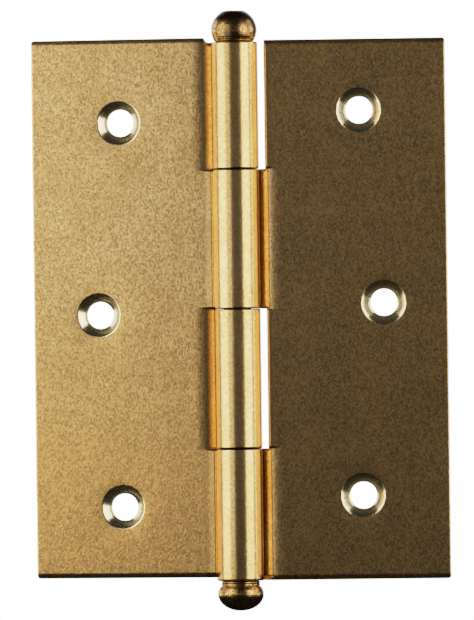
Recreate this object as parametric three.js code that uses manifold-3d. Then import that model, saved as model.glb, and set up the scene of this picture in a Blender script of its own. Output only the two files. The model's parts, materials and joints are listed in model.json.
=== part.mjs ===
// A butt hinge of folded sheet brass. Each leaf is one stamped sheet whose two
// tongues are rolled into knuckles; the four knuckles make the barrel. A plain
// pin runs through it and carries a turned cap pressed on each end.
//
// Millimetres. +Z runs up the pin, +Y points out of the back of the frame leaf,
// +X points away from the barrel. The origin is on the back of the frame leaf.

import * as THREE from 'three';
import { mergeVertices } from 'three/addons/utils/BufferGeometryUtils.js';
import Module from 'manifold-3d';

const wasm = await Module();
wasm.setup();

// ---- Driving dimensions ----------------------------------------------------

const leafHeight = 90;
const leafReach = 35; // pin axis to a leaf's outer edge
const sheet = 1.5;
const outerCornerRadius = 0.4;

const boreRadius = 2.35;
const pinClearance = 0.07; // radial running fit of the pin in the knuckles
const closedGap = 0.8; // between the two fronts when the hinge is shut

const notchReach = 4.9; // pin axis to the edge of a notch
const notchCornerRadius = 0.45;
const bendAngle = 22; // degrees that a tongue turns back out of the flat
const bendRadius = 1.7; // on the back of the tongue
const rollEndAngle = 13; // polar angle at which the rolled sheet ends

const axialShift = 0.25; // the frame leaf sits this far below middle height
const middleGap = 0.2; // between the second and third knuckles
const outerGap = 0.4; // between the first and second, and the third and fourth
const longKnuckle = 23; // the knuckle that lies beside the leaf's middle

const holeRadius = 2.3;
const countersinkRadius = 3.6;
const outerHoleReach = 20.6; // pin axis to the two outer holes
const middleHoleReach = 24.4;
const holePitch = 32.1;
const holeLift = 0.8; // the hole pattern sits this far above middle height
const doorInset = 0.5; // the door leaf's notches and holes lie this much nearer the pin

const swingBack = 10; // degrees that the door leaf stands past lying flat

const capGap = 0.1; // between a cap and the end of the barrel
const spigotRadius = 1.4;
const spigotLength = 3;
const spigotClearance = 0.02;
const spigotEndRoom = 0.2; // left at the bottom of a cap's blind bore
const shoulderGap = 0.05; // between the shank's shoulder and the cap

const topCap = {
  height: 5.1,
  radius: 3.78,
  centre: 1.9, // height of the widest place
  halfHeight: 3.55, // of the ellipse that the sides follow
};
const bottomCap = {
  height: 4.92,
  radius: 3.8,
  centre: 2.2,
  halfHeight: 2.72,
  collar: { radius: 3.2, height: 1, grooveRadius: 3, grooveHeight: 0.15, chamfer: 0.15 },
};

const arcStep = 7.5; // degrees
const turnSegments = 48;
const overrun = 1.5; // how far a cutter passes the faces that it cuts
const lap = 0.5; // how far a tongue's solid reaches into the flat that it joins

const brassColour = 0xc79a4b;
const darkBrassColour = 0x8f6a35;

// ---- Worked-out dimensions -------------------------------------------------

const barrelRadius = boreRadius + sheet;
const frontFace = closedGap / 2; // behind the pin axis
const backFace = frontFace + sheet;
const leafTop = leafHeight / 2 - axialShift;
const leafBottom = -leafHeight / 2 - axialShift;
const barrelEnd = leafHeight / 2 + axialShift;
const longKnuckleBottom = middleGap / 2;
const longKnuckleTop = longKnuckleBottom + longKnuckle;
const endKnuckleTop = -(longKnuckleTop + outerGap);

// The bend starts where its straight run comes out tangent to the bore.
const frontBendRadius = bendRadius + sheet;
const bendCosine = Math.cos(THREE.MathUtils.degToRad(bendAngle));
const bendSine = Math.sin(THREE.MathUtils.degToRad(bendAngle));
const bendCentreY = frontFace + frontBendRadius;
const bendStart = (boreRadius + frontBendRadius - bendCentreY * bendCosine) / bendSine;

// ---- Helpers ---------------------------------------------------------------

function arc(centreX, centreY, radius, fromDegrees, toDegrees) {
  const steps = Math.max(2, Math.ceil(Math.abs(toDegrees - fromDegrees) / arcStep));
  const points = [];
  for (let step = 0; step <= steps; step += 1) {
    const angle = THREE.MathUtils.degToRad(fromDegrees + ((toDegrees - fromDegrees) * step) / steps);
    points.push(new THREE.Vector2(centreX + radius * Math.cos(angle), centreY + radius * Math.sin(angle)));
  }
  return points;
}

// The geometry as a manifold solid: only positions, welded, no empty triangles.
function solidFrom(geometry) {
  const bare = geometry.clone();
  bare.deleteAttribute('normal');
  bare.deleteAttribute('uv');
  const welded = mergeVertices(bare);
  const corners = welded.index.array;
  const triangles = [];
  for (let first = 0; first < corners.length; first += 3) {
    const [a, b, c] = [corners[first], corners[first + 1], corners[first + 2]];
    if (a !== b && b !== c && c !== a) {
      triangles.push(a, b, c);
    }
  }
  return new wasm.Manifold(new wasm.Mesh({
    numProp: 3,
    vertProperties: new Float32Array(welded.attributes.position.array),
    triVerts: new Uint32Array(triangles),
  }));
}

function geometryFrom(solid) {
  const { vertProperties, triVerts } = solid.getMesh();
  const geometry = new THREE.BufferGeometry();
  geometry.setAttribute('position', new THREE.BufferAttribute(vertProperties, 3));
  geometry.setIndex(new THREE.BufferAttribute(triVerts, 1));
  geometry.computeVertexNormals();
  return geometry;
}

// An outline drawn in X and Z, given a thickness along Y from one place to another.
function plateBetween(outline, fromY, toY) {
  const geometry = new THREE.ExtrudeGeometry(new THREE.Shape(outline), {
    depth: toY - fromY,
    bevelEnabled: false,
  });
  return geometry.rotateX(Math.PI / 2).translate(0, toY, 0);
}

function turnedAboutZ(profile) {
  return new THREE.LatheGeometry(profile, turnSegments).rotateX(Math.PI / 2);
}

function brass(colour, roughness) {
  return new THREE.MeshStandardMaterial({ color: colour, metalness: 1, roughness });
}

// ---- Leaf ------------------------------------------------------------------

// The flat of the leaf, with strips that reach in beside the two notches.
function flatOutline(notchEdge) {
  const cornerX = leafReach - outerCornerRadius;
  return [
    new THREE.Vector2(bendStart, leafBottom),
    ...arc(cornerX, leafBottom + outerCornerRadius, outerCornerRadius, -90, 0),
    ...arc(cornerX, leafTop - outerCornerRadius, outerCornerRadius, 0, 90),
    new THREE.Vector2(notchEdge, leafTop),
    new THREE.Vector2(notchEdge, longKnuckleTop),
    new THREE.Vector2(bendStart, longKnuckleTop),
    new THREE.Vector2(bendStart, longKnuckleBottom),
    new THREE.Vector2(notchEdge, longKnuckleBottom),
    new THREE.Vector2(notchEdge, endKnuckleTop),
    new THREE.Vector2(bendStart, endKnuckleTop),
  ];
}

// The section of a tongue: out of the flat, round the bend, straight to the
// back of the barrel and round the bore until it nearly meets its own bend.
function tongueSection() {
  const leavesBarrel = 90 - bendAngle;
  const rollEnd = 360 + rollEndAngle;
  return [
    new THREE.Vector2(bendStart + lap, frontFace),
    ...arc(bendStart, bendCentreY, frontBendRadius, -90, -90 - bendAngle),
    ...arc(0, 0, boreRadius, leavesBarrel, rollEnd),
    ...arc(0, 0, barrelRadius, rollEnd, leavesBarrel),
    ...arc(bendStart, bendCentreY, bendRadius, -90 - bendAngle, -90),
    new THREE.Vector2(bendStart + lap, backFace),
  ];
}

function tongue(bottom, top) {
  const geometry = new THREE.ExtrudeGeometry(new THREE.Shape(tongueSection()), {
    depth: top - bottom,
    bevelEnabled: false,
  });
  return solidFrom(geometry.translate(0, 0, bottom));
}

// Clears the room of the other leaf's knuckle, with rounded inner corners.
function notchCutter(notchEdge, bottom, top) {
  const farSide = -barrelRadius - overrun;
  const cornerX = notchEdge - notchCornerRadius;
  const outline = [
    new THREE.Vector2(farSide, bottom),
    ...arc(cornerX, bottom + notchCornerRadius, notchCornerRadius, -90, 0),
    ...arc(cornerX, top - notchCornerRadius, notchCornerRadius, 0, 90),
    new THREE.Vector2(farSide, top),
  ];
  return solidFrom(plateBetween(outline, farSide, -farSide));
}

// A through hole with a 90 degree countersink on the front face.
function screwHoleCutter(reach, height) {
  const countersinkDepth = countersinkRadius - holeRadius;
  const profile = [
    new THREE.Vector2(0, -overrun),
    new THREE.Vector2(countersinkRadius + overrun, -overrun),
    new THREE.Vector2(holeRadius, countersinkDepth),
    new THREE.Vector2(holeRadius, sheet + overrun),
    new THREE.Vector2(0, sheet + overrun),
  ];
  const geometry = new THREE.LatheGeometry(profile, turnSegments);
  return solidFrom(geometry.translate(reach, frontFace, height));
}

function leafGeometry(inset) {
  const notchEdge = notchReach - inset;
  const endOfTopNotch = leafTop + overrun;
  const holes = [
    [outerHoleReach, holeLift + holePitch],
    [middleHoleReach, holeLift],
    [outerHoleReach, holeLift - holePitch],
  ];
  let leaf = solidFrom(plateBetween(flatOutline(notchEdge), frontFace, backFace));
  leaf = leaf.add(tongue(longKnuckleBottom - notchCornerRadius, longKnuckleTop + notchCornerRadius));
  leaf = leaf.add(tongue(leafBottom, endKnuckleTop + notchCornerRadius));
  leaf = leaf.subtract(notchCutter(notchEdge, longKnuckleTop, endOfTopNotch));
  leaf = leaf.subtract(notchCutter(notchEdge, endKnuckleTop, longKnuckleBottom));
  for (const [reach, height] of holes) {
    leaf = leaf.subtract(screwHoleCutter(reach - inset, height));
  }
  return geometryFrom(leaf);
}

// ---- Pin and caps ----------------------------------------------------------

function pinGeometry() {
  const shoulder = barrelEnd + capGap - shoulderGap;
  const tip = barrelEnd + capGap + spigotLength;
  const shankRadius = boreRadius - pinClearance;
  return turnedAboutZ([
    new THREE.Vector2(0, -tip),
    new THREE.Vector2(spigotRadius, -tip),
    new THREE.Vector2(spigotRadius, -shoulder),
    new THREE.Vector2(shankRadius, -shoulder),
    new THREE.Vector2(shankRadius, shoulder),
    new THREE.Vector2(spigotRadius, shoulder),
    new THREE.Vector2(spigotRadius, tip),
    new THREE.Vector2(0, tip),
  ]);
}

// The ellipse of a cap's side between two heights above the cap's base.
function ellipseSide(cap, fromHeight, toHeight) {
  const steps = 14;
  const angleAt = (height) => Math.asin(Math.min(1, (height - cap.centre) / cap.halfHeight));
  const from = angleAt(fromHeight);
  const to = angleAt(toHeight);
  const points = [];
  for (let step = 0; step <= steps; step += 1) {
    const angle = from + ((to - from) * step) / steps;
    const height = cap.centre + cap.halfHeight * Math.sin(angle);
    points.push(new THREE.Vector2(cap.radius * Math.cos(angle), height));
  }
  return points;
}

function collarProfile({ radius, height, grooveRadius, grooveHeight, chamfer }) {
  return [
    new THREE.Vector2(radius - chamfer, 0),
    new THREE.Vector2(radius, chamfer),
    new THREE.Vector2(radius, height),
    new THREE.Vector2(grooveRadius, height),
    new THREE.Vector2(grooveRadius, height + grooveHeight),
  ];
}

// A cap standing on its base: blind bore, base, then the turned outside.
function capGeometry(cap) {
  const boreOfCap = spigotRadius + spigotClearance;
  const boreDepth = spigotLength + spigotEndRoom;
  const collar = cap.collar ? collarProfile(cap.collar) : [];
  const ballStart = cap.collar ? cap.collar.height + cap.collar.grooveHeight : 0;
  return turnedAboutZ([
    new THREE.Vector2(0, boreDepth),
    new THREE.Vector2(boreOfCap, boreDepth),
    new THREE.Vector2(boreOfCap, 0),
    ...collar,
    ...ellipseSide(cap, ballStart, cap.height),
    new THREE.Vector2(0, cap.height),
  ]);
}

// ---- Assembly --------------------------------------------------------------

function namedMesh(name, geometry, material) {
  const mesh = new THREE.Mesh(geometry, material);
  mesh.name = name;
  return mesh;
}

const leafBrass = brass(brassColour, 0.3);
const turnedBrass = brass(darkBrassColour, 0.25);

const frameLeaf = namedMesh('frame_leaf', leafGeometry(0), leafBrass);

// The door leaf is the same stamping turned over end for end.
const doorLeaf = namedMesh('door_leaf', leafGeometry(doorInset), leafBrass);
doorLeaf.rotation.y = Math.PI;
const doorSwing = new THREE.Group();
doorSwing.rotation.z = -THREE.MathUtils.degToRad(swingBack);
doorSwing.add(doorLeaf);

const capBase = barrelEnd + capGap;
const topFinial = namedMesh('top_finial', capGeometry(topCap), turnedBrass);
topFinial.position.z = capBase;
const bottomFinial = namedMesh('bottom_finial', capGeometry(bottomCap), turnedBrass);
bottomFinial.rotation.x = Math.PI;
bottomFinial.position.z = -capBase;
const pinGroup = new THREE.Group();
pinGroup.add(namedMesh('hinge_pin', pinGeometry(), turnedBrass), topFinial, bottomFinial);

const hinge = new THREE.Group();
hinge.position.set(-outerHoleReach, -backFace, 0);
hinge.add(frameLeaf, doorSwing, pinGroup);

export default hinge;
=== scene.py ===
"""A butt hinge of rolled sheet brass, seen from the front in a soft studio.

Shapes are worked out in millimetres about the pin axis: X points out along the
frame leaf, Y points to its back and Z runs up the pin. The last step of each
piece moves it to its place in the frame and turns millimetres into metres.
"""

import json
import math

import bmesh
import bpy
from mathutils import Matrix, Vector, noise


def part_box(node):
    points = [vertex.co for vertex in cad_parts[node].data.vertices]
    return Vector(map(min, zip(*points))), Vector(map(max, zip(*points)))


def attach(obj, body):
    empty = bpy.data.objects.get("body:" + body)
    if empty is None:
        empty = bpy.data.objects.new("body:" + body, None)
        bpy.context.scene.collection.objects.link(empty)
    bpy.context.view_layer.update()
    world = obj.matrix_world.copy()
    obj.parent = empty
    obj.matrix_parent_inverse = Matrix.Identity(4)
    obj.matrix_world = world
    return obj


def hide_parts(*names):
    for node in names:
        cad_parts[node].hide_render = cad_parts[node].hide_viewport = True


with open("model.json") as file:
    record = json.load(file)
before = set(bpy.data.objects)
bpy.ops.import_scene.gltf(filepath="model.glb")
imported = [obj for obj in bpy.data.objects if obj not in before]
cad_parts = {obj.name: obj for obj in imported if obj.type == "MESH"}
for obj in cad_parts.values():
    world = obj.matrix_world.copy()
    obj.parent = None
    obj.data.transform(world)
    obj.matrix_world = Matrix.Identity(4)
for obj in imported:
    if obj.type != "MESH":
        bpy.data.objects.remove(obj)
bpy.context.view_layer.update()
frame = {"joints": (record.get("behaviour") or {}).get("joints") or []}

MM = 0.001
NEAR = 1e-3  # two places this near each other, in millimetres, are one

# ---- Dimensions, in millimetres -------------------------------------------

pin_axis = Vector(frame["joints"][0]["pos_m"])


def box_about_pin(node):
    """The lowest and highest corners of a CAD node, in millimetres about the pin."""
    return [(corner - pin_axis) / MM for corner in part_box(node)]


leaf_low, leaf_high = box_about_pin("frame_leaf")
shank_high = box_about_pin("hinge_pin")[1]
top_low, top_high = box_about_pin("top_finial")
foot_low, foot_high = box_about_pin("bottom_finial")

LEAF_REACH = leaf_high.x
LEAF_TOP = leaf_high.z
LEAF_BOTTOM = leaf_low.z
SHEET = 1.5
BORE_RADIUS = 2.35
FRONT_FACE = 0.4  # how far the front of a flat leaf lies behind the pin axis
OUTER_CORNER = 0.4

# A leaf's tongues lie between its notches. A notch's reach is from the pin to its edge.
NOTCH_REACH = 4.9
DOOR_NOTCH_REACH = 4.0
NOTCH_CORNER = 0.45
LONG_TONGUE = (0.02, 23.27)
END_TONGUE_TOP = -23.33
BEYOND_THE_TOP = 200.0
TONGUES = ((LEAF_BOTTOM, END_TONGUE_TOP), LONG_TONGUE)
NOTCHES = ((END_TONGUE_TOP, LONG_TONGUE[0]), (LONG_TONGUE[1], BEYOND_THE_TOP))

# How much shorter the top knuckle is than the bottom one, and how much lower than in
# the frame its cap sits.
TOP_KNUCKLE_TRIM = 0.8

OUTER_HOLE_REACH = 20.6
MIDDLE_HOLE_REACH = 24.4
HOLE_LIFT = 0.8
HOLE_PITCH = 32.1
HOLE_PLACES = (
    (OUTER_HOLE_REACH, HOLE_LIFT + HOLE_PITCH),
    (MIDDLE_HOLE_REACH, HOLE_LIFT),
    (OUTER_HOLE_REACH, HOLE_LIFT - HOLE_PITCH),
)

# A hole starts as a square in the blank, from whose middle HOLE_SQUARE is half a side.
# The lines round it turn from circles back to straight over HOLE_FADE.
HOLE_SQUARE = 3.8
HOLE_FADE = 3.6
HOLE_LINES = 8  # from the middle of the square to its side
HOLE_BESIDE = (0.45, 1.0, 1.7, 2.6)
RING_SPREAD = 1.02

# The hole's radius on the front and the back, and (radius, depth) down its wall: the
# eased lip, the countersink and the bore.
HOLE_FRONT = 3.78
HOLE_BACK = 2.48
HOLE_WALL = (
    (3.70, 0.010),
    (3.62, 0.045),
    (3.53, 0.115),
    (3.20, 0.41),
    (2.76, 0.85),
    (2.37, 1.24),
    (2.30, 1.36),
    (2.33, 1.47),
)

# The sheet is dished round the holes, and faintly wavy between the barrel and its edge.
DISH_DEPTH = 0.07
DISH_WIDTH = 2.6
WAVE_DEPTH = 0.05
WAVE_REACH = 13
WAVE_HEIGHT = 17
WAVE_START = 6.5
WAVE_RISE = 6
WAVE_FALL = 4

DOOR_INSET = 0.5  # the door leaf's holes lie this much nearer the pin
SWING_BACK = math.radians(10)  # how far past flat the door leaf stands open

# Where the blank's lines lie in from an edge, from the rims and round a notch's corner.
EDGE_STEPS = (0.0, 0.04, 0.12, 0.25, 0.4, 0.6)
RIM_STEPS = (0.0, 0.06, 0.16, 0.3, 0.45, 0.58, 0.68, 0.78, 0.95)
CORNER_STEPS = (0.11, 0.22, 0.34, 0.45, 0.62, 0.8)

# The longest gap between lines across the roll, the run in to it, the bends and the flat.
ROLL_STEP = 0.26
RUN_STEP = 0.8
BEND_STEP = 0.13
FLAT_STEP = 1.6
LEAST_STEP = 0.07  # and the shortest, which drops the lines that would lie nearer

# How wide and deep the sheet's sheared edges are drawn down, and how suddenly.
RIM_ROLLOVER = (0.78, 0.42, 1.3)
SIDE_ROLLOVER = (0.2, 0.06, 2.0)
NOTCH_ROLLOVER = (0.38, 0.3, 2.2)
BACK_ROLLOVER = (0.25, 0.15, 2.0)
SEAM_SHADE_WIDTH = 0.24  # how far the painted seam shade reaches in from a knuckle's ends

# A tongue's way in to the pin: each run's radius on the front face and its turn.
GENTLE_BEND = (10.5, math.radians(-10))
SHARP_BEND = (1.7, math.radians(-15))
SLOPE_LENGTH = 0.9
EASING_BEND = (3.0, math.radians(8))
ROLL_END = math.radians(360 + 9)
TONGUE_FADE = 0.36  # the strip beside a notch over which a tongue's bend dies out
TRIM_START = 0.55  # how far along the bends the top knuckle's trim starts
TRIM_FADE = 0.9


def walk(place, heading, runs, distance):
    """Goes along runs of (length, turn) and returns the place and heading reached."""
    for length, turn in runs:
        gone = min(distance, length)
        if turn:
            radius = length / turn
            turned_by = gone / radius
            place = place + radius * Vector((
                math.sin(heading + turned_by) - math.sin(heading),
                math.cos(heading) - math.cos(heading + turned_by),
            ))
            heading += turned_by
        else:
            place = place + gone * Vector((math.cos(heading), math.sin(heading)))
        distance -= gone
        if distance <= 0:
            break
    return place, heading


def bend_run(bend):
    radius, turn = bend
    return radius * abs(turn), turn


BENDS = (bend_run(GENTLE_BEND), bend_run(SHARP_BEND), (SLOPE_LENGTH, 0.0), bend_run(EASING_BEND))
BENDS_LENGTH = sum(length for length, turn in BENDS)

# The bends start where the straight run after them comes out tangent to the bore.
after_bends, inward = walk(Vector((0, FRONT_FACE)), math.pi, BENDS, BENDS_LENGTH)
roll_start = math.pi / 2 - (math.pi - inward)
tangent = BORE_RADIUS * Vector((math.cos(roll_start), math.sin(roll_start)))
BEND_START = (BORE_RADIUS - after_bends.y * math.sin(roll_start)) / math.cos(roll_start) - after_bends.x
straight_length = (tangent - after_bends - Vector((BEND_START, 0))).length
ROLL_LENGTH = BORE_RADIUS * (ROLL_END - roll_start)
ROLL_PLACE = BEND_START - BENDS_LENGTH - straight_length
SHEET_END = ROLL_PLACE - ROLL_LENGTH
TRIM_PLACE = BEND_START - TRIM_START * BENDS_LENGTH
RUNS = (*BENDS, (straight_length, 0.0), (ROLL_LENGTH, ROLL_END - roll_start))


# ---- Placing ---------------------------------------------------------------


def smooth(value):
    """A soft step from 0 to 1."""
    t = min(1.0, max(0.0, value))
    return t * t * (3 - 2 * t)


def finish_piece(bm, name, body, node, material):
    """Turns a shape in millimetres about the pin into a piece of the hinge."""
    bmesh.ops.scale(bm, vec=(MM, MM, MM), verts=bm.verts)
    bmesh.ops.translate(bm, vec=pin_axis, verts=bm.verts)
    bmesh.ops.recalc_face_normals(bm, faces=bm.faces)
    for face in bm.faces:
        face.smooth = True
    mesh = bpy.data.meshes.new(name)
    bm.to_mesh(mesh)
    bm.free()
    mesh.materials.append(material)
    piece = bpy.data.objects.new(name, mesh)
    bpy.context.scene.collection.objects.link(piece)
    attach(piece, body)
    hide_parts(node)


# ---- Leaves ----------------------------------------------------------------


def stations(wanted, extra, steps):
    """The wanted places and those extra ones that have room, with long gaps split.

    steps says how long a gap may be from each place on.
    """
    places = sorted(set(round(place, 4) for place in wanted))
    for place in extra:
        if places[0] < place < places[-1] and all(abs(place - kept) > LEAST_STEP for kept in places):
            places.append(place)
    places.sort()
    result = [places[0]]
    for start, end in zip(places, places[1:]):
        longest = [step for place, step in steps if place <= start + NEAR][-1]
        count = max(1, math.ceil((end - start) / longest - NEAR))
        result += [start + (end - start) * k / count for k in range(1, count + 1)]
    return result


def hole_stations(centre):
    """The two sides of a hole's square, then the lines across it and beside it."""
    across = [centre + HOLE_SQUARE * k / HOLE_LINES for k in range(1 - HOLE_LINES, HOLE_LINES)]
    beside = [centre + side * (HOLE_SQUARE + away) for side in (-1, 1) for away in HOLE_BESIDE]
    return [centre - HOLE_SQUARE, centre + HOLE_SQUARE], across + beside


def leaf_stations(notch_edge, holes):
    """Where the lines of the flat blank lie along the leaf's reach and its height."""
    columns = [SHEET_END + step for step in EDGE_STEPS]
    columns += [notch_edge + step for step in EDGE_STEPS]
    columns += [notch_edge - step for step in CORNER_STEPS]
    columns += [LEAF_REACH - step for step in EDGE_STEPS]
    rows = [LEAF_BOTTOM + step for step in RIM_STEPS] + [LEAF_TOP - step for step in RIM_STEPS]
    for edge, inward in ((LONG_TONGUE[1], -1), (LONG_TONGUE[0], 1), (END_TONGUE_TOP, -1)):
        rows += [edge + inward * step for step in EDGE_STEPS]
        rows += [edge - inward * step for step in CORNER_STEPS]
    extra_columns = [ROLL_PLACE, BEND_START - BENDS_LENGTH, BEND_START]
    extra_rows = []
    for reach, height in holes:
        sides, others = hole_stations(reach)
        columns += sides
        extra_columns += others
        sides, others = hole_stations(height)
        rows += sides
        extra_rows += others
    column_steps = (
        (SHEET_END - 1, ROLL_STEP),
        (ROLL_PLACE, RUN_STEP),
        (BEND_START - BENDS_LENGTH, BEND_STEP),
        (BEND_START, FLAT_STEP),
    )
    return (
        stations(columns, extra_columns, column_steps),
        stations(rows, extra_rows, ((LEAF_BOTTOM - 1, FLAT_STEP),)),
    )


def rounded(reach, height, notch_edge, holes, hole_radius):
    """Moves a place on the squared-off blank to where round holes and corners put it."""
    for hole_reach, hole_height in holes:
        across, up = reach - hole_reach, height - hole_height
        square = max(abs(across), abs(up))
        if square < HOLE_SQUARE + HOLE_FADE:
            radius = math.hypot(across, up)
            circle = (hole_radius + (square - HOLE_SQUARE) * RING_SPREAD) / radius
            share = smooth((square - HOLE_SQUARE) / HOLE_FADE)
            factor = circle + (1 - circle) * share
            return hole_reach + across * factor, hole_height + up * factor
    corner = LEAF_REACH - OUTER_CORNER
    for edge, side in ((LEAF_TOP - OUTER_CORNER, 1), (LEAF_BOTTOM + OUTER_CORNER, -1)):
        across, up = reach - corner, side * (height - edge)
        if across > 0 and up > 0:
            factor = max(across, up) / math.hypot(across, up)
            return corner + across * factor, edge + side * up * factor
    centre = notch_edge - NOTCH_CORNER
    for edge, side in ((LONG_TONGUE[1], 1), (LONG_TONGUE[0], -1), (END_TONGUE_TOP, 1)):
        along, up = reach - centre, side * (height - edge)
        on_tongue = abs(up) < NEAR and 0 < along <= NOTCH_CORNER + NEAR
        on_strip = abs(reach - notch_edge) < NEAR and 0 < up < NOTCH_CORNER
        if on_tongue or on_strip:
            turn = along - NOTCH_CORNER if on_tongue else up
            angle = math.pi / 4 * (turn / NOTCH_CORNER - 1)
            return (
                centre + NOTCH_CORNER * math.cos(angle),
                edge + side * NOTCH_CORNER * (1 + math.sin(angle)),
            )
    return reach, height


def edge_distances(reach, height, notch_edge):
    """How far a place lies inside the rim, the outer side and the nearest notch."""
    rim = min(LEAF_TOP - height, height - LEAF_BOTTOM)
    over = reach - (LEAF_REACH - OUTER_CORNER)
    up = OUTER_CORNER - rim
    if over > 0 and up > 0:
        side = OUTER_CORNER - math.hypot(over, up)
    else:
        side = LEAF_REACH - reach
    notch = reach - SHEET_END
    for bottom, top in NOTCHES:
        along = max(reach - (notch_edge - NOTCH_CORNER), 0)
        away = max(bottom + NOTCH_CORNER - height, height - (top - NOTCH_CORNER), 0)
        notch = min(notch, math.hypot(along, away) - NOTCH_CORNER)
    return max(0.0, rim), max(0.0, side), max(0.0, notch)


def rollover(distance, width, depth, power):
    """How deep the sheared edge of the sheet is drawn down at this distance from it."""
    return depth * max(0.0, 1 - distance / width) ** power


def sag(reach, height, holes):
    """How far the sheet lies behind flat: dished round the screw holes, and faintly wavy."""
    depth = 0.0
    for hole_reach, hole_height in holes:
        radius = math.hypot(reach - hole_reach, height - hole_height)
        nearness = max(0.0, 1 - max(0.0, radius - HOLE_FRONT) / DISH_WIDTH)
        depth += DISH_DEPTH * nearness * nearness
    flat = smooth((reach - WAVE_START) / WAVE_RISE) * smooth((LEAF_REACH - reach) / WAVE_FALL)
    wave = noise.noise(Vector((reach / WAVE_REACH, height / WAVE_HEIGHT, 0.3)))
    return depth + WAVE_DEPTH * flat * wave


def tongue_share(height):
    """1 in the rows of a tongue, which are bent, fading to 0 beside a notch."""
    away = min(max(bottom - height, height - top, 0) for bottom, top in TONGUES)
    return 1 - smooth(away / TONGUE_FADE)


def formed(reach, depth, height, trim):
    """Bends a place on the blank along the tongue's way in and round the knuckle's roll.

    trim is how much of the end knuckle's outer end is cut away.
    """
    flat = Vector((reach, FRONT_FACE + depth, height))
    if reach >= BEND_START:
        return flat
    if height < END_TONGUE_TOP:
        outward = (END_TONGUE_TOP - height) / (END_TONGUE_TOP - LEAF_BOTTOM)
        height += trim * outward * smooth((TRIM_PLACE - reach) / TRIM_FADE)
    place, heading = walk(Vector((BEND_START, FRONT_FACE)), math.pi, RUNS, BEND_START - reach)
    bent = Vector((place.x + depth * math.sin(heading), place.y - depth * math.cos(heading), height))
    return bent.lerp(flat, 1 - tongue_share(height))


def leaf_shape(notch_edge, inset, trim):
    """One stamped and rolled leaf, made from a flat grid given its thickness.

    Its "cut" attribute is 1 where a drill has left bright metal in the screw holes, and
    its seam-shade attribute rises to 1 at the ends of the knuckle, as painted shade in the seams
    between the knuckles.
    """
    holes = [(reach - inset, height) for reach, height in HOLE_PLACES]
    columns, rows = leaf_stations(notch_edge, holes)
    last_column, last_row = len(columns) - 1, len(rows) - 1
    bm = bmesh.new()
    bmesh.ops.create_grid(bm, x_segments=last_column, y_segments=last_row, size=0.5)
    for vert in bm.verts:
        column = round((vert.co.x + 0.5) * last_column)
        row = round((vert.co.y + 0.5) * last_row)
        vert.co = (columns[column], 0, rows[row])

    def is_cut(face):
        centre = face.calc_center_median()
        in_notch = centre.x < notch_edge and any(low < centre.z < high for low, high in NOTCHES)
        in_hole = any(
            max(abs(centre.x - reach), abs(centre.z - height)) < HOLE_SQUARE for reach, height in holes
        )
        return in_notch or in_hole

    bmesh.ops.delete(bm, geom=[face for face in bm.faces if is_cut(face)], context="FACES")
    front = set(bm.verts)
    made = bmesh.ops.extrude_face_region(bm, geom=list(bm.faces))
    back = [part for part in made["geom"] if isinstance(part, bmesh.types.BMVert)]
    bmesh.ops.translate(bm, vec=(0, SHEET, 0), verts=back)

    walls = [
        edge
        for edge in bm.edges
        if (edge.verts[0] in front) != (edge.verts[1] in front)
        and any(
            max(abs(edge.verts[0].co.x - reach), abs(edge.verts[0].co.z - height)) < HOLE_SQUARE + NEAR
            for reach, height in holes
        )
    ]
    bmesh.ops.subdivide_edges(bm, edges=walls, cuts=len(HOLE_WALL))

    cut = bm.verts.layers.float.new("cut")
    seam_shade = bm.verts.layers.float.new("seam_shade")
    for vert in bm.verts:
        reach, height = vert.co.x, vert.co.z
        level = round(vert.co.y / SHEET * (len(HOLE_WALL) + 1))
        if 0 < level <= len(HOLE_WALL):
            radius, depth = HOLE_WALL[level - 1]
            reach, height = rounded(reach, height, notch_edge, holes, radius)
            depth += sag(reach, height, holes) * (1 - depth / SHEET)
            vert[cut] = 1.0
        elif level == 0:
            reach, height = rounded(reach, height, notch_edge, holes, HOLE_FRONT)
            rim, side, notch = edge_distances(reach, height, notch_edge)
            drawn = (
                rollover(rim, *RIM_ROLLOVER),
                rollover(side, *SIDE_ROLLOVER),
                rollover(notch, *NOTCH_ROLLOVER),
            )
            depth = max(drawn) + sag(reach, height, holes)
        else:
            reach, height = rounded(reach, height, notch_edge, holes, HOLE_BACK)
            rim, side, notch = edge_distances(reach, height, notch_edge)
            depth = SHEET - rollover(min(rim, side, notch), *BACK_ROLLOVER)
        # Painted shade: the knuckle darkens towards its ends, in the seams between knuckles.
        if SHEET_END + SEAM_SHADE_WIDTH < reach < ROLL_PLACE:
            vert[seam_shade] = max(0.0, 1 - notch / SEAM_SHADE_WIDTH)
        vert.co = formed(reach, depth, height, trim)
    return bm


# ---- Pin and finials -------------------------------------------------------

CAP_SEGMENTS = 120
PIN_SEGMENTS = 96
WELD = 1e-4

SPIGOT_RADIUS = 1.4
SPIGOT_BORE = 1.42
SPIGOT_DEPTH = 3.2
SPIGOT_CHAMFER = 0.15
SHOULDER_GAP = 0.05
SHOULDER_CHAMFER = 0.12
MOUTH_CHAMFER = 0.1

# The blind bore of a cap, as (radius, height) from its bottom out to its mouth.
CAP_BORE = [
    (0, SPIGOT_DEPTH),
    (SPIGOT_BORE, SPIGOT_DEPTH),
    (SPIGOT_BORE, MOUTH_CHAMFER),
    (SPIGOT_BORE + MOUTH_CHAMFER, 0),
]

# A cap's ball: the height of its widest place, its half height and the steps up its side.
TOP_BALL = (1.9, 3.55, 90)
BOTTOM_BALL = (2.2, 2.72, 80)
BALL_INSET = 0.02  # keeps the crests of the tool marks inside the ball's full radius

# The slow and the fast ridges of the tool marks: how many to a millimetre, and how deep.
SLOW_MARKS = 1.9
FAST_MARKS = 5.3
SLOW_DEPTH = 0.018
FAST_DEPTH = 0.012

# How far the upper cap's foot is eased in and up, where its side ends below the crown,
# and the crown's edge as (in from the side's end, below the top).
FOOT_EASE = (0.06, 0.03)
CROWN_DROP = 0.1
CROWN_EDGE = ((0.1, 0.05), (0.25, 0.01), (0.6, 0.0))

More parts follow.
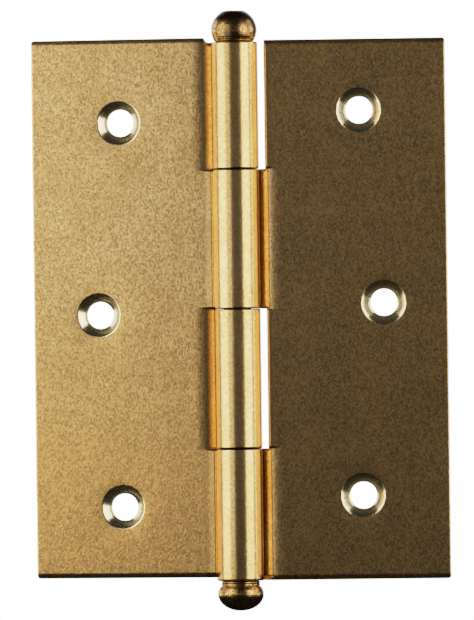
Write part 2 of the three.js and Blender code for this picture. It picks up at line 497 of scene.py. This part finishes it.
# The lower cap's collar: a band, a fine groove, a second band, and a neck under the ball.
COLLAR = [
    (3.02, 0),
    (3.13, 0.05),
    (3.18, 0.15),
    (3.18, 0.34),
    (3.11, 0.39),
    (3.11, 0.45),
    (3.18, 0.5),
    (3.18, 0.68),
    (3.14, 0.74),
    (3.06, 0.77),
    (3.06, 0.84),
    (3.13, 0.88),
]
BALL_BASE = 0.9


def turned(profile, segments):
    """A closed turned solid whose profile, (radius, height) pairs, runs from pole to pole."""
    bm = bmesh.new()
    points = [bm.verts.new((radius, 0, height)) for radius, height in profile]
    edges = [bm.edges.new(pair) for pair in zip(points, points[1:])]
    bmesh.ops.spin(
        bm,
        geom=points + edges,
        cent=(0, 0, 0),
        axis=(0, 0, 1),
        angle=2 * math.pi,
        steps=segments,
        use_merge=True,
    )
    bmesh.ops.remove_doubles(bm, verts=bm.verts, dist=WELD)
    return bm


def tool_marks(height):
    """The fine ridges that the turning tool leaves, by height."""
    slow = noise.noise(Vector((0.2, 0.7, height * SLOW_MARKS)))
    fast = noise.noise(Vector((3.1, 0.4, height * FAST_MARKS)))
    return SLOW_DEPTH * slow + FAST_DEPTH * fast


def ball_side(radius, ball, low, high):
    """The side of a finial's ball between two heights, following an ellipse."""
    centre, half_height, steps = ball
    start = math.asin((low - centre) / half_height)
    end = math.asin(min(1.0, (high - centre) / half_height))
    points = []
    for step in range(steps + 1):
        angle = start + (end - start) * step / steps
        height = centre + half_height * math.sin(angle)
        points.append(((radius - BALL_INSET + tool_marks(height)) * math.cos(angle), height))
    return points


def top_finial_shape():
    """The squashed ball on top, with a flat crown."""
    height = top_high.z - top_low.z
    side = ball_side(top_high.x, TOP_BALL, 0.0, height - CROWN_DROP)
    foot, crown = side[0][0], side[-1][0]
    profile = CAP_BORE + [(foot - FOOT_EASE[0], 0)]
    profile += [(radius, max(FOOT_EASE[1], z)) for radius, z in side]
    profile += [(crown - inward, height - below) for inward, below in CROWN_EDGE]
    profile.append((0, height))
    bm = turned(profile, CAP_SEGMENTS)
    bmesh.ops.translate(bm, vec=(0, 0, top_low.z - TOP_KNUCKLE_TRIM), verts=bm.verts)
    return bm


def bottom_finial_shape():
    """The lower ball, hanging from a short grooved collar."""
    height = foot_high.z - foot_low.z
    side = ball_side(foot_high.x, BOTTOM_BALL, BALL_BASE, height)
    bm = turned(CAP_BORE + COLLAR + side[:-1] + [(0, height)], CAP_SEGMENTS)
    bmesh.ops.rotate(bm, cent=(0, 0, 0), matrix=Matrix.Rotation(math.pi, 3, "X"), verts=bm.verts)
    bmesh.ops.translate(bm, vec=(0, 0, foot_high.z), verts=bm.verts)
    return bm


def pin_shape():
    """The shank with a small chamfer, and the spigots that the finials are pressed on."""
    radius, tip = shank_high.x, shank_high.z
    shoulder = top_low.z - SHOULDER_GAP
    half = [
        (0, tip),
        (SPIGOT_RADIUS - SPIGOT_CHAMFER, tip),
        (SPIGOT_RADIUS, tip - SPIGOT_CHAMFER),
        (SPIGOT_RADIUS, shoulder),
        (radius - SHOULDER_CHAMFER, shoulder),
        (radius, shoulder - SHOULDER_CHAMFER),
    ]
    profile = [(r, z - TOP_KNUCKLE_TRIM) for r, z in half] + [(r, -z) for r, z in reversed(half)]
    return turned(profile, PIN_SEGMENTS)


# ---- Materials -------------------------------------------------------------


class Graph:
    """A node tree with short calls for the nodes used here. A value may be a socket."""

    def __init__(self, tree):
        self.tree = tree

    def put(self, socket, value):
        if isinstance(value, bpy.types.NodeSocket):
            self.tree.links.new(value, socket)
        else:
            socket.default_value = value

    def outputs(self, kind, values, **settings):
        made = self.tree.nodes.new(kind)
        for name, setting in settings.items():
            setattr(made, name, setting)
        for place, value in values.items():
            self.put(made.inputs[place], value)
        return made.outputs

    def node(self, kind, values, output=0, **settings):
        return self.outputs(kind, values, **settings)[output]

    def math(self, operation, first, second=0.0):
        return self.node("ShaderNodeMath", {0: first, 1: second}, operation=operation)

    def scaled(self, vector, scale):
        return self.node("ShaderNodeVectorMath", {0: vector, 1: scale}, operation="MULTIPLY")

    def noise(self, vector, scale, detail=2.0, roughness=0.5):
        values = {"Vector": vector, "Scale": scale, "Detail": detail, "Roughness": roughness}
        return self.node("ShaderNodeTexNoise", values)

    def step(self, value, low, high, start=0.0, end=1.0):
        values = {"Value": value, "From Min": low, "From Max": high, "To Min": start, "To Max": end}
        return self.node("ShaderNodeMapRange", values, interpolation_type="SMOOTHSTEP")

    def tint(self, factor, first, second):
        values = {0: factor, 6: first, 7: second}
        return self.node("ShaderNodeMix", values, output=2, data_type="RGBA")

    def group(self, tree, values, output):
        made = self.tree.nodes.new("ShaderNodeGroup")
        made.node_tree = tree
        for name, value in values.items():
            self.put(made.inputs[name], value)
        return made.outputs[output]


def new_group(name, inputs, outputs):
    """An empty node group; returns its graph, its inputs and a call that fills its outputs."""
    tree = bpy.data.node_groups.new(name, "ShaderNodeTree")
    for label, kind in inputs:
        tree.interface.new_socket(label, in_out="INPUT", socket_type=kind)
    for label in outputs:
        tree.interface.new_socket(label, in_out="OUTPUT", socket_type="NodeSocketFloat")
    graph = Graph(tree)
    entry = tree.nodes.new("NodeGroupInput").outputs
    exit_node = tree.nodes.new("NodeGroupOutput")

    def give(label, value):
        graph.put(exit_node.inputs[label], value)

    return graph, entry, give


def grain_group():
    """Short upright grains, as on rolled sheet: a hilly height, and a tone for each grain."""
    inputs = (("Vector", "NodeSocketVector"), ("Scale", "NodeSocketFloat"))
    graph, entry, give = new_group("sheet_grain", inputs, ("Height", "Tone"))
    upright = graph.scaled(entry["Vector"], (1.0, 1.0, 0.7))
    fine = graph.noise(upright, entry["Scale"], 2.5, 0.7)
    broad = graph.noise(entry["Vector"], graph.math("MULTIPLY", entry["Scale"], 0.31), 1.0)
    hills = graph.math("MULTIPLY", broad, 0.5)
    give("Height", graph.math("ADD", graph.math("MULTIPLY", fine, 0.7), hills))
    cells = {"Vector": upright, "Scale": graph.math("MULTIPLY", entry["Scale"], 1.4)}
    colour = graph.node("ShaderNodeTexVoronoi", cells, output="Color")
    shade = graph.node("ShaderNodeSeparateColor", {0: colour})
    hollow = graph.step(fine, 0.65, 0.35, -0.1, 0.1)
    give("Tone", graph.node("ShaderNodeClamp", {0: graph.math("ADD", shade, hollow)}))
    return graph.tree


def mottle_group():
    """Soft clouds, a few millimetres across."""
    inputs = (("Vector", "NodeSocketVector"), ("Scale", "NodeSocketFloat"))
    graph, entry, give = new_group("cloudy_mottle", inputs, ("Tone",))
    give("Tone", graph.step(graph.noise(entry["Vector"], entry["Scale"], 2.0, 0.6), 0.3, 0.7))
    return graph.tree


def lines_group():
    """Fine lines across one direction: the Stretch is small along the lines."""
    inputs = (("Vector", "NodeSocketVector"), ("Stretch", "NodeSocketVector"))
    graph, entry, give = new_group("fine_lines", inputs, ("Height",))
    drawn = graph.scaled(entry["Vector"], entry["Stretch"])
    give("Height", graph.noise(drawn, 1.0, 2.0, 0.6))
    return graph.tree


def specks_group():
    """A few small dark pits."""
    inputs = (("Vector", "NodeSocketVector"), ("Scale", "NodeSocketFloat"))
    graph, entry, give = new_group("dark_specks", inputs, ("Mask",))
    cells = {"Vector": entry["Vector"], "Scale": entry["Scale"]}
    cell = graph.outputs("ShaderNodeTexVoronoi", cells)
    near = graph.step(cell["Distance"], 0.03, 0.075, 1.0, 0.0)
    draw = graph.node("ShaderNodeSeparateColor", {0: cell["Color"]})
    chosen = graph.math("GREATER_THAN", draw, 0.85)
    give("Mask", graph.math("MULTIPLY", near, chosen))
    return graph.tree


grain = grain_group()
mottle = mottle_group()
lines = lines_group()
specks = specks_group()

BRASS = (1.0, 0.665, 0.285, 1)
# Painted shade: the door leaf's darker, warmer foot.
FOOT_SHADE_BRASS = (0.95, 0.53, 0.16, 1)
CLOUDED_BRASS = (0.86, 0.51, 0.17, 1)
GRAIN_BROWN = (0.42, 0.245, 0.095, 1)
# Dark pits, and painted shade in the seams at the knuckles' ends.
PITS_AND_SEAM_SHADE = (0.10, 0.06, 0.03, 1)
CUT_BRASS = (0.93, 0.79, 0.48, 1)
CAP_BRASS = (0.92, 0.55, 0.17, 1)
# Tarnish in clouds, and the painted shade on the crown and the pole.
CAP_TARNISH_AND_SHADE = (0.09, 0.05, 0.04, 1)
PIN_BRASS = (0.80, 0.55, 0.21, 1)
PIN_TARNISH = (0.60, 0.38, 0.15, 1)

# Patterns repeat about this many times in a metre.
LEAF_GRAIN = 3300.0
LEAF_CLOUDS = 160.0
LEAF_SPECKS = 330.0
KNUCKLE_STREAKS = (3800.0, 3800.0, 160.0)
TURNED_GRAIN = 3600.0
TURNED_CLOUDS = 500.0
TURNED_MARKS = (60.0, 60.0, 3600.0)

# Distances from the pin, and places along it, between which a finish or a painted shade changes.
BURNISHED_RADII = (5.1 * MM, 6.3 * MM)
DOOR_SIDE = (-1.0 * MM, -6.0 * MM)
FOOT_SHADE_HEIGHTS = (18.0 * MM, -38.0 * MM)
# The painted shade on the crown and the pole: where it starts and ends, its middle, its cloudy edge.
SHADED_ENDS = (48.2 * MM, 49.7 * MM)
END_SHADE_MIDDLE = 0.65 * MM
UNEVEN_END_SHADE = 0.9 * MM

LEAF_ROUGHNESS = (0.28, 0.33)
BURNISHED_ROUGHNESS = 0.22
CUT_ROUGHNESS = 0.2
LEAF_HILLS = 0.05 * MM
STREAK_DEPTH = 0.005 * MM
TURNED_HILLS = 0.03 * MM


def new_material(name):
    """A metal with nothing set yet: its graph, its shader and coordinates from the pin axis."""
    material = bpy.data.materials.new(name)
    material.use_nodes = True
    graph = Graph(material.node_tree)
    shader = material.node_tree.nodes["Principled BSDF"]
    shader.inputs["Metallic"].default_value = 1.0
    place = graph.node("ShaderNodeTexCoord", {}, output=3)
    centred = graph.node("ShaderNodeMapping", {"Vector": place, "Location": -pin_axis})
    return material, graph, shader, centred


def bump(graph, height, distance, normal=None):
    values = {"Height": height, "Distance": distance, "Strength": 1.0}
    if normal is not None:
        values["Normal"] = normal
    return graph.node("ShaderNodeBump", values)


def leaf_brass():
    """Grainy stamped flats, knuckles burnished by the rolling dies, and bright drilled holes."""
    material, graph, shader, place = new_material("leaf_brass")
    x, y, z = graph.outputs("ShaderNodeSeparateXYZ", {0: place})
    squared = graph.math("ADD", graph.math("MULTIPLY", x, x), graph.math("MULTIPLY", y, y))
    outside = graph.step(graph.math("SQRT", squared), *BURNISHED_RADII)
    burnished = graph.math("SUBTRACT", 1.0, outside)
    cut = graph.node("ShaderNodeAttribute", {}, output="Fac", attribute_name="cut")
    seam_shade = graph.node("ShaderNodeAttribute", {}, output="Fac", attribute_name="seam_shade")
    sheet = graph.math("MULTIPLY", outside, graph.math("SUBTRACT", 1.0, cut))

    tone = graph.group(grain, {"Vector": place, "Scale": LEAF_GRAIN}, "Tone")
    height = graph.group(grain, {"Vector": place, "Scale": LEAF_GRAIN}, "Height")
    cloud = graph.group(mottle, {"Vector": place, "Scale": LEAF_CLOUDS}, "Tone")
    speck = graph.group(specks, {"Vector": place, "Scale": LEAF_SPECKS}, "Mask")
    streak = graph.group(lines, {"Vector": place, "Stretch": KNUCKLE_STREAKS}, "Height")

    # The door side is painted darker and warmer towards its foot: painted shade.
    painted_foot_shade = graph.math("MULTIPLY", graph.step(z, *FOOT_SHADE_HEIGHTS), graph.step(x, *DOOR_SIDE))
    clean = graph.tint(painted_foot_shade, BRASS, FOOT_SHADE_BRASS)
    base = graph.tint(graph.math("MULTIPLY", cloud, 0.6), clean, CLOUDED_BRASS)
    worn = graph.math("ADD", graph.math("MULTIPLY", sheet, 0.4), 0.55)
    grained = graph.tint(graph.math("MULTIPLY", tone, worn), base, GRAIN_BROWN)
    # Painted shade darkens the knuckles' ends at the seams; the specks are real dark pits.
    painted_seam_shade = graph.step(seam_shade, 0.1, 0.8, 0.0, 0.9)
    dark_marks_and_shade = graph.math("MAXIMUM", graph.math("MULTIPLY", speck, 0.8), painted_seam_shade)
    pitted_and_seam_shaded = graph.tint(dark_marks_and_shade, grained, PITS_AND_SEAM_SHADE)
    graph.put(shader.inputs["Base Color"], graph.tint(cut, pitted_and_seam_shaded, CUT_BRASS))

    matt = graph.math("MULTIPLY", graph.step(cloud, 0.0, 1.0, *LEAF_ROUGHNESS), sheet)
    rolled = graph.math("MULTIPLY", burnished, BURNISHED_ROUGHNESS)
    shine = graph.math("ADD", rolled, graph.math("MULTIPLY", cut, CUT_ROUGHNESS))
    graph.put(shader.inputs["Roughness"], graph.math("ADD", matt, shine))

    coarse = graph.math("ADD", graph.math("MULTIPLY", sheet, 0.75), 0.25)
    hills = bump(graph, graph.math("MULTIPLY", height, coarse), LEAF_HILLS)
    drawn = graph.math("MULTIPLY", streak, graph.math("SUBTRACT", 1.0, sheet))
    graph.put(shader.inputs["Normal"], bump(graph, drawn, STREAK_DEPTH, hills))
    return material


def turned_brass(name, light, dark, roughness, mark_depth, tarnish_and_shade):
    """Brass as the lathe leaves it, with level tool marks, and painted shade that darkens it towards
    its ends.

    The upper half is the duller one.
    """
    material, graph, shader, place = new_material(name)
    z = graph.node("ShaderNodeSeparateXYZ", {0: place}, output=2)
    mark = graph.group(lines, {"Vector": place, "Stretch": TURNED_MARKS}, "Height")
    height = graph.group(grain, {"Vector": place, "Scale": TURNED_GRAIN}, "Height")
    tone = graph.group(grain, {"Vector": place, "Scale": TURNED_GRAIN}, "Tone")
    cloud = graph.group(mottle, {"Vector": place, "Scale": TURNED_CLOUDS}, "Tone")

    # Painted shade darkens the ends, the crown and the pole, alongside the real tarnish in clouds and
    # grain.
    outward = graph.math("ABSOLUTE", graph.math("ADD", z, END_SHADE_MIDDLE))
    uneven = graph.math("ADD", outward, graph.math("MULTIPLY", cloud, UNEVEN_END_SHADE))
    end = graph.step(uneven, *SHADED_ENDS, 0.0, tarnish_and_shade)
    upper = graph.step(z, 0.0, MM, 0.0, 0.35)
    dulled = graph.math("ADD", graph.math("MULTIPLY", cloud, 0.6), upper)
    tarnish_and_end_shade = graph.math("MAXIMUM", graph.math("MULTIPLY", dulled, tarnish_and_shade), end)
    dark_marks_and_shade = graph.math("MAXIMUM", tarnish_and_end_shade, graph.math("MULTIPLY", tone, tarnish_and_shade))
    graph.put(shader.inputs["Base Color"], graph.tint(dark_marks_and_shade, light, dark))
    graph.put(shader.inputs["Roughness"], graph.step(tarnish_and_end_shade, 0.0, 1.0, roughness, roughness + 0.1))
    hills = bump(graph, height, TURNED_HILLS)
    graph.put(shader.inputs["Normal"], bump(graph, mark, mark_depth, hills))
    return material


sheet_metal = leaf_brass()
cap_metal = turned_brass("cap_brass", CAP_BRASS, CAP_TARNISH_AND_SHADE, 0.17, 0.006 * MM, 0.92)
pin_metal = turned_brass("pin_brass", PIN_BRASS, PIN_TARNISH, 0.25, 0.003 * MM, 0.5)

# ---- Pieces ----------------------------------------------------------------

frame_leaf = leaf_shape(NOTCH_REACH, 0.0, 0.0)
finish_piece(frame_leaf, "rolled_frame_leaf", "frame_side", "frame_leaf", sheet_metal)

# The door leaf is the same stamping turned over end for end, then swung back.
door_leaf = leaf_shape(DOOR_NOTCH_REACH, DOOR_INSET, TOP_KNUCKLE_TRIM)
turned_over = Matrix.Rotation(-SWING_BACK, 3, "Z") @ Matrix.Rotation(math.pi, 3, "Y")
bmesh.ops.rotate(door_leaf, cent=(0, 0, 0), matrix=turned_over, verts=door_leaf.verts)
finish_piece(door_leaf, "rolled_door_leaf", "door_side", "door_leaf", sheet_metal)

finish_piece(pin_shape(), "turned_pin", "pin", "hinge_pin", pin_metal)

top_finial = top_finial_shape()
finish_piece(top_finial, "turned_top_finial", "pin", "top_finial", cap_metal)

bottom_finial = bottom_finial_shape()
finish_piece(bottom_finial, "turned_bottom_finial", "pin", "bottom_finial", cap_metal)

# ---- Floor -----------------------------------------------------------------

# The floor, the camera and the lights are laid out in metres.
FLOOR_DROP = 0.08
FLOOR_RADIUS = 0.75
FLOOR_GLOW = 2.1


def floor_material():
    """Pale to look at, but dark in the brass, as if the studio ended there."""
    material = bpy.data.materials.new("pale_floor")
    material.use_nodes = True
    graph = Graph(material.node_tree)
    shader = material.node_tree.nodes["Principled BSDF"]
    seen = graph.node("ShaderNodeLightPath", {}, output="Is Camera Ray")
    shader.inputs["Base Color"].default_value = (0.02, 0.02, 0.02, 1.0)
    shader.inputs["Roughness"].default_value = 0.9
    shader.inputs["Specular IOR Level"].default_value = 0.0
    shader.inputs["Emission Color"].default_value = (1.0, 1.0, 0.98, 1.0)
    graph.put(shader.inputs["Emission Strength"], graph.math("MULTIPLY", seen, FLOOR_GLOW))
    return material


floor_mesh = bmesh.new()
bmesh.ops.create_circle(floor_mesh, cap_ends=True, radius=FLOOR_RADIUS, segments=96)
bmesh.ops.translate(floor_mesh, vec=(pin_axis.x, pin_axis.y, -FLOOR_DROP), verts=floor_mesh.verts)
floor_data = bpy.data.meshes.new("floor")
floor_mesh.to_mesh(floor_data)
floor_mesh.free()
floor_data.materials.append(floor_material())
floor = bpy.data.objects.new("floor", floor_data)
bpy.context.scene.collection.objects.link(floor)

# ---- Camera ----------------------------------------------------------------

CAMERA_TURN = math.radians(3)
CAMERA_ROLL = math.radians(-0.74)
CAMERA_DISTANCE = 1.5
VIEW_HEIGHT = 0.1033
AIM = pin_axis + Vector((-0.07, 0.0, -0.18)) * MM


def from_pin(angle_degrees, distance, height=0.0):
    """A point round the pin, by its angle from the camera's direction, positive to the right."""
    angle = CAMERA_TURN + math.radians(angle_degrees)
    return AIM + Vector((distance * math.sin(angle), -distance * math.cos(angle), height))


camera_data = bpy.data.cameras.new("camera")
camera_data.lens = camera_data.sensor_width * CAMERA_DISTANCE / VIEW_HEIGHT
camera_data.clip_start = 0.05
camera_data.clip_end = 20
camera = bpy.data.objects.new("camera", camera_data)
bpy.context.scene.collection.objects.link(camera)
camera.location = from_pin(0, CAMERA_DISTANCE)
looking = (AIM - camera.location).to_track_quat("-Z", "Y").to_matrix()
camera.rotation_euler = (looking @ Matrix.Rotation(CAMERA_ROLL, 3, "Z")).to_euler()
bpy.context.scene.camera = camera

# ---- Lights ----------------------------------------------------------------


def softbox(name, start, end, bottom, top, radiance):
    """An upright panel of light between two places, (angle, distance) from the pin."""
    left, right = from_pin(*start), from_pin(*end)
    up = Vector((0, 0, 1))
    centre = (left + right) / 2 + up * (bottom + top) / 2
    across = (right - left).normalized()
    away = across.cross(up)
    if away.dot(centre - AIM) < 0:
        across, away = -across, -away
    data = bpy.data.lights.new(name, "AREA")
    data.shape = "RECTANGLE"
    data.size = (right - left).length
    data.size_y = top - bottom
    data.color = (1.0, 0.985, 0.95)
    data.energy = radiance * math.pi * data.size * data.size_y
    light = bpy.data.objects.new(name, data)
    bpy.context.scene.collection.objects.link(light)
    turned_to = Matrix((across, up, away)).transposed().to_4x4()
    light.matrix_world = Matrix.Translation(centre) @ turned_to
    light.visible_camera = False


# Each panel's name, its two sides, (angle in degrees, distance in metres) from the pin,
# the heights of its bottom and top, and its radiance.
PANELS = (
    ("left_veil", (-25, 0.14), (-50, 0.2), -0.06, 0.14, 0.9),
    ("left_panel", (-50, 0.2), (-95, 0.3), -0.2, 0.2, 2.35),
    ("left_back_panel", (-106, 0.3), (-145, 0.35), -0.2, 0.2, 1.8),
    ("right_panel", (33, 0.35), (75, 0.33), -0.35, 0.27, 2.45),
    ("right_side_panel", (84, 0.33), (113, 0.3), -0.35, 0.27, 2.35),
    ("back_panel", (150, 0.6), (-150, 0.6), -0.3, 0.5, 0.8),
)
for panel in PANELS:
    softbox(*panel)

# Seen directly, the room is a bright backdrop. In the brass it is dim, and darker still
# overhead and underneath: (steepness, strength) where it starts to darken and where it ends.
BACKDROP_GLOW = 2.6
DARKENING_STARTS = (0.2, 0.105)
DARKENING_ENDS = (0.6, 0.025)

world = bpy.data.worlds.new("studio")
world.use_nodes = True
bpy.context.scene.world = world
surroundings = Graph(world.node_tree)
background = world.node_tree.nodes["Background"]
background.inputs["Color"].default_value = (1.0, 0.98, 0.98, 1.0)
direction = surroundings.node("ShaderNodeTexCoord", {})
upward = surroundings.node("ShaderNodeSeparateXYZ", {0: direction}, output=2)
steepness = surroundings.math("ABSOLUTE", upward)
shallow, dim = DARKENING_STARTS
steep, dark = DARKENING_ENDS
dim_room = surroundings.step(steepness, shallow, steep, dim, dark)
seen_directly = surroundings.node("ShaderNodeLightPath", {}, output="Is Camera Ray")
backdrop = surroundings.math("MULTIPLY", seen_directly, BACKDROP_GLOW)
surroundings.put(background.inputs["Strength"], surroundings.math("MAXIMUM", backdrop, dim_room))

# ---- Tone ------------------------------------------------------------------

# Each channel is kept as it is in the darks and eased off in the highlights.
TONE_WHITE = 2.5
TONE = (
    (0.2, 0.2),
    (0.45, 0.42),
    (0.75, 0.6),
    (1.0, 0.69),
    (1.35, 0.765),
    (2.0, 0.86),
)
view = bpy.context.scene.view_settings
view.view_transform = "Standard"
view.use_curve_mapping = True
view.curve_mapping.white_level = (TONE_WHITE, TONE_WHITE, TONE_WHITE)
tone_curve = view.curve_mapping.curves[3]
for light, shown in TONE:
    tone_curve.points.new(light / TONE_WHITE, shown)
view.curve_mapping.update()
